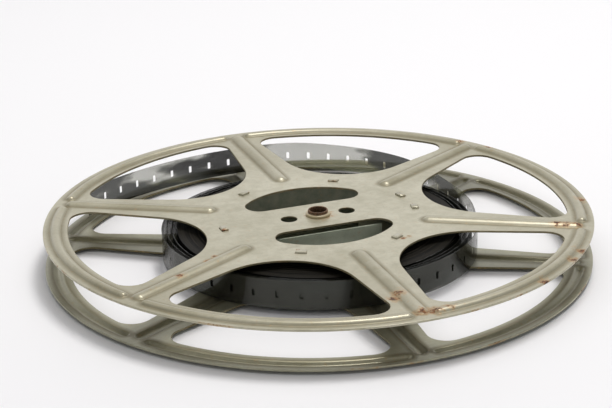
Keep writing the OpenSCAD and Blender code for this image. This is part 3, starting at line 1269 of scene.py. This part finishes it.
@dataclass
class CoreDrum:
    """The rolled strip between the flanges, with lugs bent over both of them."""

    outer_r: float = 33.3
    wall: float = 0.6
    low: float = 1.7
    high: float = 13.5
    seam: float = 1.2
    sheet: float = SHEET
    lug_w: float = 3.4
    lug_reach: float = 2.2
    lug_root: float = 1.0
    lug_inset: float = 0.02
    lug_edge: float = 0.12
    # How far the strip is darkened: painted shade for the shut-in space inside the drum.
    strip_shade: float = 1.1
    edge: float = 0.1
    segments: int = 160
    strip_sharp: float = 35.0
    lug_sharp: float = 40.0
    lug_angles: tuple[float, ...] = LUG_ANGLES

    def strip(self) -> bpy.types.Mesh:
        """The strip, open at its seam and with rounded edges.

        Returns:
            Its mesh.
        """
        inner, outer, e = self.outer_r - self.wall, self.outer_r, self.edge
        rows = [(inner + e, self.low), (outer - e, self.low), (outer, self.low + e)]
        rows += [(outer, self.high - e), (outer - e, self.high), (inner + e, self.high)]
        rows += [(inner, self.high - e), (inner, self.low + e)]
        half = self.seam / self.outer_r / 2
        count = self.segments
        turns = [half + (2 * math.pi - 2 * half) * i / count for i in range(count + 1)]
        points = [(r * math.cos(t), r * math.sin(t), z) for t in turns for r, z in rows]
        faces = skin(len(rows), len(turns), False)
        mesh = Piece.mesh("drum_strip", np.array(points), faces)
        shade_smooth(mesh, self.strip_sharp)
        return mesh

    def lug(self) -> bpy.types.Mesh:
        """One lug at angle 0, with the drum's edge at height 0.

        Returns:
            Its mesh.
        """
        outer = self.outer_r - self.lug_inset
        inner = self.outer_r - self.wall + self.lug_inset
        thick = outer - inner
        tip = self.outer_r - self.lug_reach
        back = [(outer, -self.lug_root)]
        for angle in range(0, 91, 15):
            turn = math.radians(angle)
            back.append((inner + thick * math.cos(turn), self.sheet + thick * math.sin(turn)))
        e, seat = self.lug_edge, self.sheet + self.lug_inset
        back += [(tip + e, self.sheet + thick), (tip, self.sheet + thick - e)]
        rows = back + [(tip, seat), (inner, seat), (inner, -self.lug_root)]
        half = self.lug_w / 2
        ends = [(-half, e), (-half + e, 0.0), (half - e, 0.0), (half, e)]
        middle = np.mean(rows, 0)
        points = []
        for y, pull in ends:
            for x, z in rows:
                way = np.array((x, z)) - middle
                shift = way / max(np.hypot(*way), 1e-6) * pull
                points.append((x - shift[0], y, z - shift[1]))
        mesh = Piece.mesh("lug", np.array(points), skin(len(rows), len(ends), False))
        face_outwards(mesh)
        shade_smooth(mesh, self.lug_sharp)
        return mesh

    def build(self, paint: StovingPaint) -> None:
        """Builds the drum with its lugs and dresses it.

        Args:
            paint: Its finish.
        """
        material = paint.material()
        strip = bpy.data.objects.new("drum_strip", self.strip())
        lug = bpy.data.objects.new("lug", self.lug())
        tree = ShapeTree("Lugs round the drum")
        graph = tree.graph
        strip_in = tree.given("Strip", "Object", strip)
        lug_in = tree.given("Lug", "Object", lug)
        turn, flip = [
            graph.wire("GeometryNodeInputNamedAttribute", {"data_type": "FLOAT"}, {"Name": name})
            for name in ("lug_turn", "lug_flip")
        ]
        spin = graph.wire("ShaderNodeCombineXYZ", None, {0: flip, 1: 0.0, 2: turn})
        shape = graph.wire("GeometryNodeObjectInfo", None, {"Object": lug_in}, "Geometry")
        lugs = graph.wire(
            "GeometryNodeInstanceOnPoints",
            None,
            {"Points": tree.geometry, "Instance": shape, "Rotation": spin},
        )
        body = graph.wire("GeometryNodeObjectInfo", None, {"Object": strip_in}, "Geometry")
        join = graph.node("GeometryNodeJoinGeometry")
        for part in (lugs, body):
            graph.tree.links.new(part.socket, join.inputs[0])
        tree.finish(Wire(graph, join.outputs[0]), material)
        mesh = tree.run("core_drum_strip", self.lug_places())
        for helper in (strip, lug):
            bpy.data.objects.remove(helper)
        piece = Piece("core_drum_strip", mesh)
        heights = np.array([vertex.co.z for vertex in mesh.vertices]) / MM
        outside = (heights > self.high + self.sheet) | (heights < self.low - self.sheet)
        piece.number("edge", outside)
        # The whole strip is darkened towards the grime colour: painted shade for the inside of the
        # drum. The lugs are not.
        piece.number("dirt_and_shade", np.where(outside, 0.0, self.strip_shade))
        piece.dress(material, Slot.DRUM, Body.REEL, "core_drum")

    def lug_places(self) -> bpy.types.Mesh:
        """Where the lugs go.

        Returns:
            A point on the axis for each, with its turn, and half a turn over if it is low.
        """
        ends = [(self.high, 0.0), (self.low, math.pi)]
        places = [(z, flip, math.radians(a)) for z, flip in ends for a in self.lug_angles]
        mesh = Piece.mesh("lug_places", np.array([(0.0, 0.0, z) for z, _, _ in places]), [])
        for name, column in (("lug_flip", 1), ("lug_turn", 2)):
            store = mesh.attributes.new(name, "FLOAT", "POINT")
            store.data.foreach_set("value", [place[column] for place in places])
        return mesh


@dataclass
class HubSaddle:
    """The folded saddle on the lower strap: two walls, joined by a foot at each end."""

    base: float = 1.7
    half_w: float = 10.7
    height: float = 10.5
    sheet: float = SHEET
    bend: float = 1.2
    foot_from: float = 13.45
    foot_to: float = 18.15
    open_half: float = 9.15
    edge: float = 0.12
    wall_rows: Triple = (1.0, 0.7, 0.4)
    bend_step: float = 0.3
    bevel_turn: float = 50.0
    sharp_turn: float = 40.0

    def section(self) -> list[Point]:
        """The middle of the sheet across the strap.

        Returns:
            Rows of y and height, from one wall's top to the other's.
        """
        wall, level = self.half_w - self.sheet / 2, self.sheet / 2
        mid, radius = self.half_w - self.bend, self.bend - self.sheet / 2
        rows = [(-wall, self.height * share) for share in self.wall_rows]
        rows += arc((-mid, self.bend), radius, 180, 270, self.bend_step)
        rows += [(-self.open_half, level), (self.open_half, level)]
        rows += arc((mid, self.bend), radius, 270, 360, self.bend_step)
        rows += [(wall, self.height * share) for share in reversed(self.wall_rows)]
        return rows

    def folded_sheet(self) -> bpy.types.Mesh:
        """The middle of the folded sheet, open between the feet.

        Returns:
            Its mesh, without thickness.
        """
        rows = self.section()
        columns = [-self.foot_to, -self.foot_from, 0.0, self.foot_from, self.foot_to]
        points = [(x, y, self.base + z) for x in columns for y, z in rows]
        size = len(rows)
        gap = rows.index((-self.open_half, self.sheet / 2))
        faces = []
        for i in range(len(columns) - 1):
            between_feet = 0 < i < len(columns) - 2
            for j in range(size - 1):
                if not (between_feet and j == gap):
                    here, there = i * size + j, (i + 1) * size + j
                    faces.append((here, there, there + 1, here + 1))
        return Piece.mesh("saddle_sheet", np.array(points), faces)

    def build(self, paint: StovingPaint) -> None:
        """Builds the saddle and dresses it.

        Args:
            paint: Its finish.
        """
        host = bpy.data.objects.new("saddle_start", self.folded_sheet())
        bpy.context.scene.collection.objects.link(host)
        wall = host.modifiers.new("sheet", "SOLIDIFY")
        wall.thickness = self.sheet * MM
        wall.offset = 0.0
        wall.use_even_offset = True
        round_off = host.modifiers.new("edges", "BEVEL")
        round_off.width = self.edge * MM
        round_off.segments = 2
        round_off.limit_method = "ANGLE"
        round_off.angle_limit = math.radians(self.bevel_turn)
        graph = bpy.context.evaluated_depsgraph_get()
        mesh = bpy.data.meshes.new_from_object(host.evaluated_get(graph), depsgraph=graph)
        bpy.data.objects.remove(host)
        face_outwards(mesh)
        mesh.set_sharp_from_angle(angle=math.radians(self.sharp_turn))
        piece = Piece("hub_saddle_sheet", mesh)
        piece.dress(paint.material(), Slot.DRUM, Body.REEL, "hub_saddle")


@dataclass
class Film:
    """The wound film: tight turns, loose turns and the free end."""

    low: float = 2.0
    width: float = 9.5
    thick: float = 0.15
    core_r: float = 33.7
    pack_r: float = 46.0
    turn_gap: float = 0.5
    bulge: float = 1.1
    loose: int = 3
    tail_start: float = -20.0
    tail_r: float = 86.5
    pitch: float = 7.54
    hole_long: float = 1.05
    hole_wide: float = 2.4
    hole_r: float = 0.28
    lead_in: float = 50.0
    past_end: float = 2.64
    seat_gap: float = 0.02
    panel_half: float = 1.35
    run_on: float = 0.5
    weld: float = 2e-6
    tight_share: float = 0.94
    stray: float = 0.16
    stray_scale: float = 0.9
    lead_steps: int = 20
    turn_steps: int = 180
    knot_steps: int = 24
    spiral_steps: int = 120
    sharp_turn: float = 40.0
    tail_knots: tuple[Point, ...] = (
        (-20, 0.07),
        (0, 0),
        (20, 0.07),
        (42, 0.2),
        (64, 0.5),
        (86, 0.74),
        (98, 0.84),
        (116, 0.83),
        (136, 0.88),
        (156, 1),
        (176, 1.2),
    )

    @property
    def first_r(self) -> float:
        """Radius of the start of the loose turns."""
        return self.pack_r + self.turn_gap + self.thick / 2

    @property
    def rise(self) -> float:
        """How far the middle of a loose turn lies outside the turn below, at the least."""
        return self.turn_gap + self.thick

    def path(self) -> np.ndarray:
        """The middle line of the loose turns and the free end.

        Returns:
            Rows of x and y, from the pack outwards.
        """
        rows: list[Point] = []
        start = self.tail_start - 360 * self.loose
        close_r = self.pack_r + self.thick / 2 + self.seat_gap
        for i in range(self.lead_steps):
            share = i / self.lead_steps
            ease = share * share * (3 - 2 * share)
            radius = close_r + (self.first_r - close_r) * ease
            rows.append((radius, start - self.lead_in * (1 - share)))
        for i in range(self.turn_steps * self.loose):
            turns = i / self.turn_steps
            back = 360 * (self.loose - turns)
            wide = self.bulge * (1 + math.cos(math.radians(2 * back))) / 2
            rows.append((self.first_r + turns * (self.rise + wide), self.tail_start - back))
        outer = self.first_r + self.loose * (self.rise + self.bulge)
        for angle, share in self._tail_points():
            rows.append((outer + (self.tail_r - outer) * share, self.tail_start + angle))
        turned_rows = [(radius, math.radians(angle)) for radius, angle in rows]
        return np.array([(r * math.cos(a), r * math.sin(a)) for r, a in turned_rows])

    def _tail_points(self) -> list[Point]:
        """A smooth curve through the knots of the free end, without the first and the last.

        Returns:
            Angles, and shares of the way out to the ring.
        """
        knots = np.array(self.tail_knots, float)
        points: list[Point] = []
        for i in range(1, len(knots) - 2):
            a, b, c, d = knots[i - 1 : i + 3]
            bend = 2 * a - 5 * b + 4 * c - d
            for j in range(self.knot_steps):
                s = j / self.knot_steps
                cubic = (3 * b - a - 3 * c + d) * s**3
                points.append(tuple(0.5 * (2 * b + (c - a) * s + bend * s * s + cubic)))
        points.append(tuple(knots[-2]))
        return points

    def cell(self) -> bpy.types.Mesh:
        """One pitch of flat film along X with its perforation, open at both ends.

        Returns:
            Its mesh.
        """
        flat, corners = self._cell_plan()
        points: list[Triple] = []
        faces: list[Face] = []
        for z in (self.thick / 2, -self.thick / 2):
            base = len(points)
            points += [(x, y, z) for x, y in flat]
            order = corners if z > 0 else [face[::-1] for face in corners]
            faces += [tuple(base + i for i in face) for face in order]
        faces += self._cell_walls(flat, corners)
        return Piece.mesh("film_cell", np.array(points), faces)

    def _perforation(self) -> list[list[float]]:
        """The outline of the perforation in the middle of a cell.

        Returns:
            Its points, anticlockwise.
        """
        far, near = self.hole_long / 2 - self.hole_r, self.hole_wide / 2 - self.hole_r
        hole: list[Point] = []
        for x, y, start in ((1, 1, 0), (-1, 1, 90), (-1, -1, 180), (1, -1, 270)):
            centre = (self.pitch / 2 + x * far, y * near)
            hole += arc(centre, self.hole_r, start, start + 90, 0.2)[::3]
        return close_up(hole, self.width).tolist()

    def _cell_plan(self) -> tuple[list[Point], list[Face]]:
        """The flat faces of a cell: a panel round the perforation and one at each end.

        Returns:
            Points and faces.
        """
        half_w, middle, reach = self.width / 2, self.pitch / 2, self.panel_half
        hole = self._perforation()
        frame: list[Point] = []
        for x, y in hole:
            across = x - middle
            grow = min(reach / max(abs(across), 1e-6), half_w / max(abs(y), 1e-6))
            frame.append((middle + across * grow, y * grow))
        ways = ((1, 1), (-1, 1), (-1, -1), (1, -1))
        corners = [(middle + x * reach, y * half_w) for x, y in ways]
        low, high = middle - reach, middle + reach
        columns = (0.0, low / 2, low, high, (self.pitch + high) / 2, self.pitch)
        levels = (-half_w, -half_w / 3, half_w / 3, half_w)
        grid = [(x, y) for x in columns for y in levels]
        points = [Vector(p) for p in [*hole, *frame, *corners, *grid]]
        count = len(hole)
        links = [(i, (i + 1) % count) for i in range(count)]
        found = delaunay_2d_cdt(points, links, [], 0, 1e-5)
        plan = [tuple(p) for p in found[0]]
        middles = np.array([np.mean([plan[c] for c in f], 0) for f in found[2]])
        kept = ~inside(middles, np.array(hole))
        return plan, [tuple(f) for f, keep in zip(found[2], kept) if keep]

    def _cell_walls(self, flat: list[Point], corners: list[Face]) -> list[Face]:
        """Walls along the film's two edges and round the perforation, but not at the ends.

        Args:
            flat: Points of one face of the film; the other face's points follow them.
            corners: Its triangles.

        Returns:
            The walls.
        """
        ways = dict.fromkeys((a, b) for face in corners for a, b in zip(face, face[1:] + face[:1]))
        count = len(flat)
        walls: list[Face] = []
        for a, b in ways:
            if (b, a) in ways:
                continue
            at_start = max(flat[a][0], flat[b][0]) < 1e-6
            at_end = min(flat[a][0], flat[b][0]) > self.pitch - 1e-6
            if not at_start and not at_end:
                walls.append((b, a, a + count, b + count))
        return walls

    def wound_strip(self, material: bpy.types.Material) -> bpy.types.Mesh:
        """The perforated strip along its path.

        Args:
            material: Its finish.

        Returns:
            The strip as one mesh.
        """
        path = self.path()
        length = np.hypot(*np.diff(path, axis=0).T).sum() + self.past_end
        frames = int(length / self.pitch)
        cell = bpy.data.objects.new("film_cell", self.cell())
        tree = ShapeTree("Perforated film on its path")
        graph = tree.graph
        cell_in = tree.given("Cell", "Object", cell)
        count_in = tree.given("Frames", "Int", frames)
        pitch_in = tree.given("Pitch", "Float", length / frames * MM)
        lift_in = tree.given("Middle height", "Float", (self.low + self.width / 2) * MM)
        stretch_in = tree.given("Stretch", "Float", length / frames / self.pitch)
        shape = graph.wire("GeometryNodeObjectInfo", None, {"Object": cell_in}, "Geometry")
        ahead = graph.wire("ShaderNodeCombineXYZ", None, {0: pitch_in, 1: 0.0, 2: 0.0})
        line = graph.wire("GeometryNodeMeshLine", None, {"Count": count_in, "Offset": ahead})
        size = graph.wire("ShaderNodeCombineXYZ", None, {0: stretch_in, 1: 1.0, 2: 1.0})
        cells = graph.wire(
            "GeometryNodeInstanceOnPoints", None, {"Points": line, "Instance": shape, "Scale": size}
        )
        flat = graph.wire("GeometryNodeRealizeInstances", None, {"Geometry": cells})
        flat = graph.wire(
            "GeometryNodeMergeByDistance", None, {"Geometry": flat, "Distance": self.weld}
        )
        spot = graph.wire("GeometryNodeInputPosition")
        parts = graph.node("ShaderNodeSeparateXYZ", None, {0: spot})
        run, across, out = [Wire(graph, socket) for socket in parts.outputs]
        for name, value in (("film_run", run), ("film_across", across)):
            flat = graph.wire(
                "GeometryNodeStoreNamedAttribute",
                {"data_type": "FLOAT", "domain": "POINT"},
                {"Geometry": flat, "Name": name, "Value": value},
            )
        curve = graph.wire("GeometryNodeMeshToCurve", None, {0: tree.geometry})
        sample = graph.node(
            "GeometryNodeSampleCurve", {"mode": "LENGTH"}, {"Curves": curve, "Length": run}
        )
        point, tangent = [Wire(graph, sample.outputs[n]) for n in ("Position", "Tangent")]
        side = graph.vector("CROSS_PRODUCT", tangent, (0.0, 0.0, 1.0))
        beside = graph.wire("ShaderNodeVectorMath", {"operation": "SCALE"}, {0: side, "Scale": out})
        up = graph.wire("ShaderNodeCombineXYZ", None, {0: 0.0, 1: 0.0, 2: across + lift_in})
        place = graph.vector("ADD", graph.vector("ADD", point, beside), up)
        bent = graph.wire("GeometryNodeSetPosition", None, {"Geometry": flat, "Position": place})
        tree.finish(bent, material)
        ahead = (path[-1] - path[-2]) / np.hypot(*(path[-1] - path[-2]))
        longer = np.vstack([path, path[-1] + ahead * (self.past_end + self.run_on)])
        mesh = tree.run("film_loose_turns", self.path_mesh(longer))
        bpy.data.objects.remove(cell)
        self._trim(mesh, Vector((*path[-1], 0.0)) * MM, Vector((*ahead, 0.0)))
        return mesh

    def path_mesh(self, path: np.ndarray) -> bpy.types.Mesh:
        """The path as a chain of edges at height 0.

        Args:
            path: Rows of x and y.

        Returns:
            A mesh without faces.
        """
        mesh = bpy.data.meshes.new("film_path")
        points = np.column_stack([path, np.zeros(len(path))]) * MM
        mesh.from_pydata(points.tolist(), [(i, i + 1) for i in range(len(path) - 1)], [])
        return mesh

    def _trim(self, mesh: bpy.types.Mesh, end: Vector, ahead: Vector) -> None:
        """Cuts the last cell at the film's end, closes both ends and turns the faces outwards.

        Args:
            mesh: The strip.
            end: The film's end, at height 0.
            ahead: The direction of the film there.
        """
        work = bmesh.new()
        work.from_mesh(mesh)
        reach = 2 * self.pitch * MM
        last = [f for f in work.faces if (f.calc_center_median() - end).xy.length < reach]
        edges = dict.fromkeys(edge for face in last for edge in face.edges)
        points = dict.fromkeys(vert for face in last for vert in face.verts)
        bmesh.ops.bisect_plane(
            work,
            geom=[*points, *edges, *last],
            dist=1e-8,
            plane_co=end,
            plane_no=ahead,
            clear_outer=True,
        )
        open_edges = [edge for edge in work.edges if edge.is_boundary]
        bmesh.ops.holes_fill(work, edges=open_edges, sides=0)
        bmesh.ops.recalc_face_normals(work, faces=work.faces)
        work.to_mesh(mesh)
        work.free()
        shade_smooth(mesh, self.sharp_turn)

    def tight_turns(self, material: bpy.types.Material) -> bpy.types.Mesh:
        """The tight turns as one spiral strip, each turn a little high or low.

        Args:
            material: Its finish.

        Returns:
            The turns as one mesh.
        """
        turns = round((self.pack_r - self.core_r) / self.thick)
        tree = ShapeTree("Tight turns of film")
        graph = tree.graph
        turns_in = tree.given("Turns", "Float", float(turns))
        start_in = tree.given("First radius", "Float", (self.core_r + self.thick / 2) * MM)
        end_in = tree.given("Last radius", "Float", (self.pack_r - self.thick / 2) * MM)
        thick_in = tree.given("Thickness", "Float", self.thick * self.tight_share * MM)
        width_in = tree.given("Width", "Float", (self.width - self.stray) * MM)
        lift_in = tree.given("Middle height", "Float", (self.low + self.width / 2) * MM)
        stray_in = tree.given("Stray", "Float", self.stray * MM)
        spiral = graph.wire(
            "GeometryNodeCurveSpiral",
            None,
            {
                "Resolution": self.spiral_steps,
                "Rotations": turns_in,
                "Start Radius": start_in,
                "End Radius": end_in,
                "Height": 0.0,
            },
        )
        along = graph.wire("GeometryNodeSplineParameter") * turns_in
        noise = graph.wire(
            "ShaderNodeTexNoise",
            {"noise_dimensions": "1D"},
            {"W": along, "Scale": self.stray_scale, "Detail": 3.0},
        )
        height = (noise - 0.5) * stray_in + lift_in
        shift = graph.wire("ShaderNodeCombineXYZ", None, {0: 0.0, 1: 0.0, 2: height})
        spiral = graph.wire("GeometryNodeSetPosition", None, {"Geometry": spiral, "Offset": shift})
        spiral = graph.wire("GeometryNodeSetCurveNormal", {"mode": "Z_UP"}, {0: spiral})
        section = graph.wire(
            "GeometryNodeCurvePrimitiveQuadrilateral", None, {"Width": thick_in, "Height": width_in}
        )
        strip = graph.wire(
            "GeometryNodeCurveToMesh",
            None,
            {"Curve": spiral, "Profile Curve": section, "Fill Caps": True},
        )
        tree.finish(strip, material)
        mesh = tree.run("film_tight_turns", bpy.data.meshes.new("film_tight_start"))
        shade_smooth(mesh, self.sharp_turn)
        return mesh

    def build(self, base: FilmBase, edges: FilmEdges) -> None:
        """Builds the film and dresses it.

        Args:
            base: The finish of the loose turns and the free end.
            edges: The finish of the tight turns.
        """
        edge_finish = edges.material()
        pack = Piece("film_tight_turns", self.tight_turns(edge_finish))
        pack.dress(edge_finish, Slot.FILM, Body.FILM, "film_pack")
        base_finish = base.material()
        strip = Piece("film_loose_turns", self.wound_strip(base_finish))
        strip.dress(base_finish, Slot.FILM, Body.FILM, "film_outer_turns", "film_tail")


@dataclass(frozen=True)
class Studio:
    """The floor, the light and the camera."""

    floor: Colour = linear(242, 242, 244)
    sky_low: Colour = (0.455, 0.46, 0.46)
    sky_high: Colour = (0.13, 0.13, 0.14)
    sky_band: tuple[float, float] = (0.35, 0.75)
    backdrop: Colour = (1.0, 1.0, 1.02)
    backdrop_band: tuple[float, float] = (0.45, 0.85)
    sky_strength: float = 1.0
    lamp_tint: Colour = (1.0, 0.98, 0.96)
    lamps: tuple[tuple[str, Triple, float, float], ...] = (
        ("key_lamp", (0.22, 0.3, 1.2), 0.36, 8.2),
        ("soft_lamp", (0.0, 0.1, 1.1), 1.7, 7.6),
    )
    view_turn: float = -20.3
    camera_back: float = 555.4
    camera_up: float = 230.2
    yaw: float = -0.394
    pitch: float = 20.91
    roll: float = -1.28
    lens: float = 107.64
    sensor: float = 36.0
    near_clip: float = 0.01
    floor_half: float = 2000.0
    floor_z: float = -0.04
    floor_shade: float = 0.97

    def set_camera(self) -> None:
        """Puts the camera where the photograph was taken from."""
        yaw, pitch, roll = (math.radians(v) for v in (self.yaw, self.pitch, self.roll))
        ahead = Vector(
            (math.sin(yaw) * math.cos(pitch), math.cos(yaw) * math.cos(pitch), -math.sin(pitch))
        )
        level = Vector((math.cos(yaw), -math.sin(yaw), 0.0))
        upright = level.cross(ahead)
        right = level * math.cos(roll) + upright * math.sin(roll)
        up = upright * math.cos(roll) - level * math.sin(roll)
        turn = Matrix.Rotation(math.radians(self.view_turn), 4, "Z")
        place = Vector((0.0, -self.camera_back, self.camera_up)) * MM
        frame = Matrix((right, up, -ahead)).transposed().to_4x4()
        frame.translation = place
        data = bpy.data.cameras.new("camera")
        data.sensor_width = self.sensor
        data.lens = self.lens
        data.clip_start = self.near_clip
        camera = bpy.data.objects.new("camera", data)
        camera.matrix_world = turn @ frame
        bpy.context.scene.collection.objects.link(camera)
        bpy.context.scene.camera = camera

    def lay_floor(self) -> None:
        """Lays a plain pale floor under the reel."""
        half, low = self.floor_half, self.floor_z
        corners = [(-half, -half, low), (half, -half, low), (half, half, low), (-half, half, low)]
        piece = Piece("floor", Piece.mesh("floor", np.array(corners), [(0, 1, 2, 3)], False))
        finish = Finish("pale_floor")
        cloud = finish.graph.noise(finish.place(), 1.5, 2.0)
        shade = tuple(part * self.floor_shade for part in self.floor)
        finish.feed(
            Base_Color=finish.graph.mix(cloud, shade, self.floor),
            Roughness=0.6,
            Specular_IOR_Level=0.2,
        )
        piece.object.data.materials.append(finish.material)

    def lamp(self, name: str, place: Triple, size: float, power: float) -> None:
        """Hangs one soft lamp that points at the reel.

        Args:
            name: Its name.
            place: Where it hangs in the photograph's frame, in metres.
            size: Width of its square face in metres.
            power: Its power in watts.
        """
        data = bpy.data.lights.new(name, "AREA")
        data.shape = "SQUARE"
        data.size = size
        data.energy = power
        data.color = self.lamp_tint
        lamp = bpy.data.objects.new(name, data)
        spot = Matrix.Rotation(math.radians(self.view_turn), 3, "Z") @ Vector(place)
        lamp.location = spot
        lamp.rotation_euler = (-spot).to_track_quat("-Z", "Y").to_euler()
        bpy.context.scene.collection.objects.link(lamp)

    def light(self) -> None:
        """Sets a pale sky and the lamps."""
        scene = bpy.context.scene
        scene.view_settings.view_transform = "Standard"
        world = bpy.data.worlds.new("studio")
        scene.world = world
        world.use_nodes = True
        world.node_tree.nodes.clear()
        graph = Graph(world.node_tree)
        way = graph.wire("ShaderNodeTexCoord", None, None, "Generated")
        height = graph.wire("ShaderNodeSeparateXYZ", None, {0: way}, 2)
        turn = math.radians(self.view_turn)
        behind = (-math.sin(turn), math.cos(turn), 0.0)
        facing = graph.fade(graph.vector("DOT_PRODUCT", way, behind, 1), *self.backdrop_band)
        low = graph.mix(facing, self.sky_low, self.backdrop)
        colour = graph.mix(graph.fade(height, *self.sky_band), low, self.sky_high)
        sky = graph.wire(
            "ShaderNodeBackground", None, {"Color": colour, "Strength": self.sky_strength}
        )
        graph.node("ShaderNodeOutputWorld", None, {"Surface": sky})
        for name, place, size, power in self.lamps:
            self.lamp(name, place, size, power)


RUST_SPOTS = (
    RustSpot(0.0, -84.0, 3.6),
    RustSpot(3.8, -84.2, 4.4),
    RustSpot(8.0, -83.6, 3.6),
    RustSpot(-1.0, -69.8, 3.9),
    RustSpot(-3.8, -72.0, 3.4),
    RustSpot(66.5, -39.2, 3.0),
    RustSpot(69.5, -40.4, 3.6),
    RustSpot(72.5, -42.2, 3.0),
    RustSpot(63.5, -61.0, 3.4),
    RustSpot(58.2, -66.5, 3.4),
    RustSpot(42.5, -77.6, 3.4),
    RustSpot(84.5, -22.0, 3.4),
    RustSpot(79.0, 38.0, 3.0),
    RustSpot(72.7, 47.6, 3.0),
    RustSpot(-56.7, -32.1, 3.0),
    RustSpot(-42.1, -20.5, 1.9),
    RustSpot(-45.0, -22.8, 2.1),
    RustSpot(17.6, -29.4, 2.2),
    RustSpot(19.6, -28.6, 1.4),
    RustSpot(0.8, -0.4, 6.4),
)


def main() -> None:
    """Builds the reel, piece by piece, and its studio."""
    logging.basicConfig(level=logging.INFO, format="%(name)s: %(message)s")
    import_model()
    studio = Studio()
    studio.set_camera()
    paint_light, paint_dark = linear(198, 194, 174), linear(160, 155, 130)
    # The lower flange's paint is a darker, greener copy of the upper one's: painted shade for the
    # shadow of the upper flange, with some grime.
    under_shaded_light, under_shaded_dark = linear(186, 184, 162), linear(148, 146, 124)
    Flange(Side.UPPER, UPPER_FACE, "upper_flange").build(
        StovingPaint("upper_flange_paint", paint_light, paint_dark, RUST_SPOTS)
    )
    Flange(Side.LOWER, LOWER_FACE, "lower_flange").build(
        StovingPaint("lower_flange_shaded_paint", under_shaded_light, under_shaded_dark, metal=0.55)
    )
    CoreDrum().build(
        StovingPaint(
            "drum_paint",
            linear(186, 182, 162),
            linear(160, 156, 136),
            edge_wear=0.62,
            patch_scale=260.0,
            # This grime colour is what the strip darkens towards: painted shade inside the drum.
            grime_and_shade=linear(112, 117, 101),
        )
    )
    HubSaddle().build(StovingPaint("saddle_paint", linear(190, 197, 178), linear(164, 171, 152)))
    steel = RubbedSteel("eyelet_steel", linear(172, 158, 126))
    SpindleEyelet(Side.UPPER, UPPER_FACE, "upper_spindle_eyelet", 1.9).build(steel)
    SpindleEyelet(Side.LOWER, LOWER_FACE, "lower_spindle_eyelet", 0.85).build(steel)
    film = Film()
    film.build(
        FilmBase(
            "film_base",
            dense=linear(23, 24, 20),
            wound=linear(46, 45, 40),
            thin=linear(132, 134, 100),
            clear=0.58,
            tail_run=(0.92, 1.0),
        ),
        FilmEdges("film_edges", linear(10, 10, 8), linear(66, 61, 52), film.thick),
    )
    studio.lay_floor()
    studio.light()


if __name__ == "__main__":
    main()
